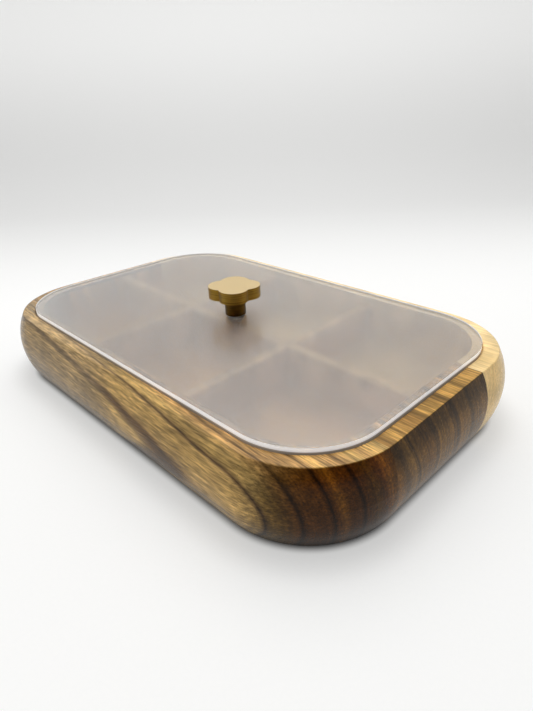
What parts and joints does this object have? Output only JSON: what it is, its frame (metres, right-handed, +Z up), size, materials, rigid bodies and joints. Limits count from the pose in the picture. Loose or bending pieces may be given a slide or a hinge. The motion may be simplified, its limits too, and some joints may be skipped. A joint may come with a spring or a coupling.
{
  "type": "chip and dip server",
  "caption": "Rectangular wooden serving tray with rounded corners, divided pockets, and a lift-off frosted lid with a clover-shaped brass knob.",
  "frame": {"origin": "on the table, under the middle of the tray", "axes": "+X along the tray's length, +Y across it towards the paler back stave, +Z up"},
  "size_m": [0.356, 0.231, 0.0768],
  "materials": {
    "heartwood": "oiled satin, brown with dark streaks along the tray",
    "sapwood": "oiled satin, pale honey",
    "divider_wood": "oiled satin",
    "frosted_acrylic": "frosted, translucent, edges polished",
    "brass": "brushed satin, gold tone",
    "clear_silicone": "soft, nearly clear",
    "steel": "zinc plated"
  },
  "bodies": {
    "tray": {"front_stave": "heartwood", "middle_stave": "heartwood", "back_stave": "sapwood", "long_divider": "divider_wood", "left_cross_divider": "divider_wood", "right_cross_divider": "divider_wood"},
    "lid": {"lid_panel": "frosted_acrylic", "post_gasket": "clear_silicone", "under_lid_gasket": "clear_silicone", "screw_washer": "steel", "knob_post": "brass", "knob_head": "brass", "knob_screw": "steel"}
  },
  "joints": [
    {"name": "lid_lift", "type": "slide", "parent": "tray", "child": "lid", "axis": [0, 0, 1], "range_m": [0, 0.15]}
  ]
}
